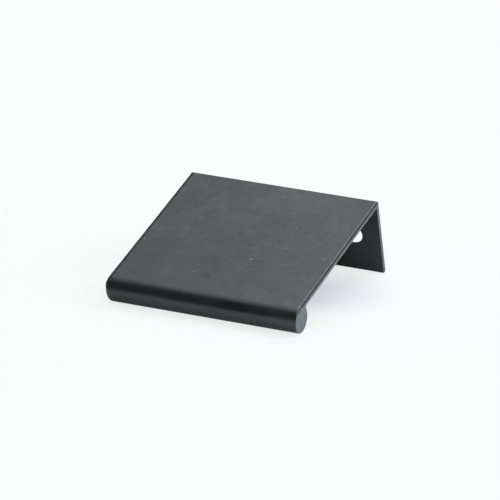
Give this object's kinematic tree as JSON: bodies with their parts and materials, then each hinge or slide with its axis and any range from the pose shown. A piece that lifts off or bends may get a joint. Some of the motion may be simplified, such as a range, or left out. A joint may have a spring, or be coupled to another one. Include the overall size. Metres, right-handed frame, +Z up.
{
  "type": "cabinet pull",
  "caption": "Edge pull for a drawer or cabinet door: a thin black plate with a round grip bead along its front edge and a drilled mounting flange behind.",
  "frame": {"origin": "midway between the two screw holes, on the face of the flange that seats against the back of the drawer front", "axes": "+X along the pull, -Y out over the drawer front towards the grip bead, +Z up, square to the plate"},
  "size_m": [0.045, 0.045, 0.0186],
  "materials": {
    "black_finish": "satin black, finely blasted"
  },
  "bodies": {
    "root": {"edge_pull": "black_finish"}
  },
  "joints": []
}
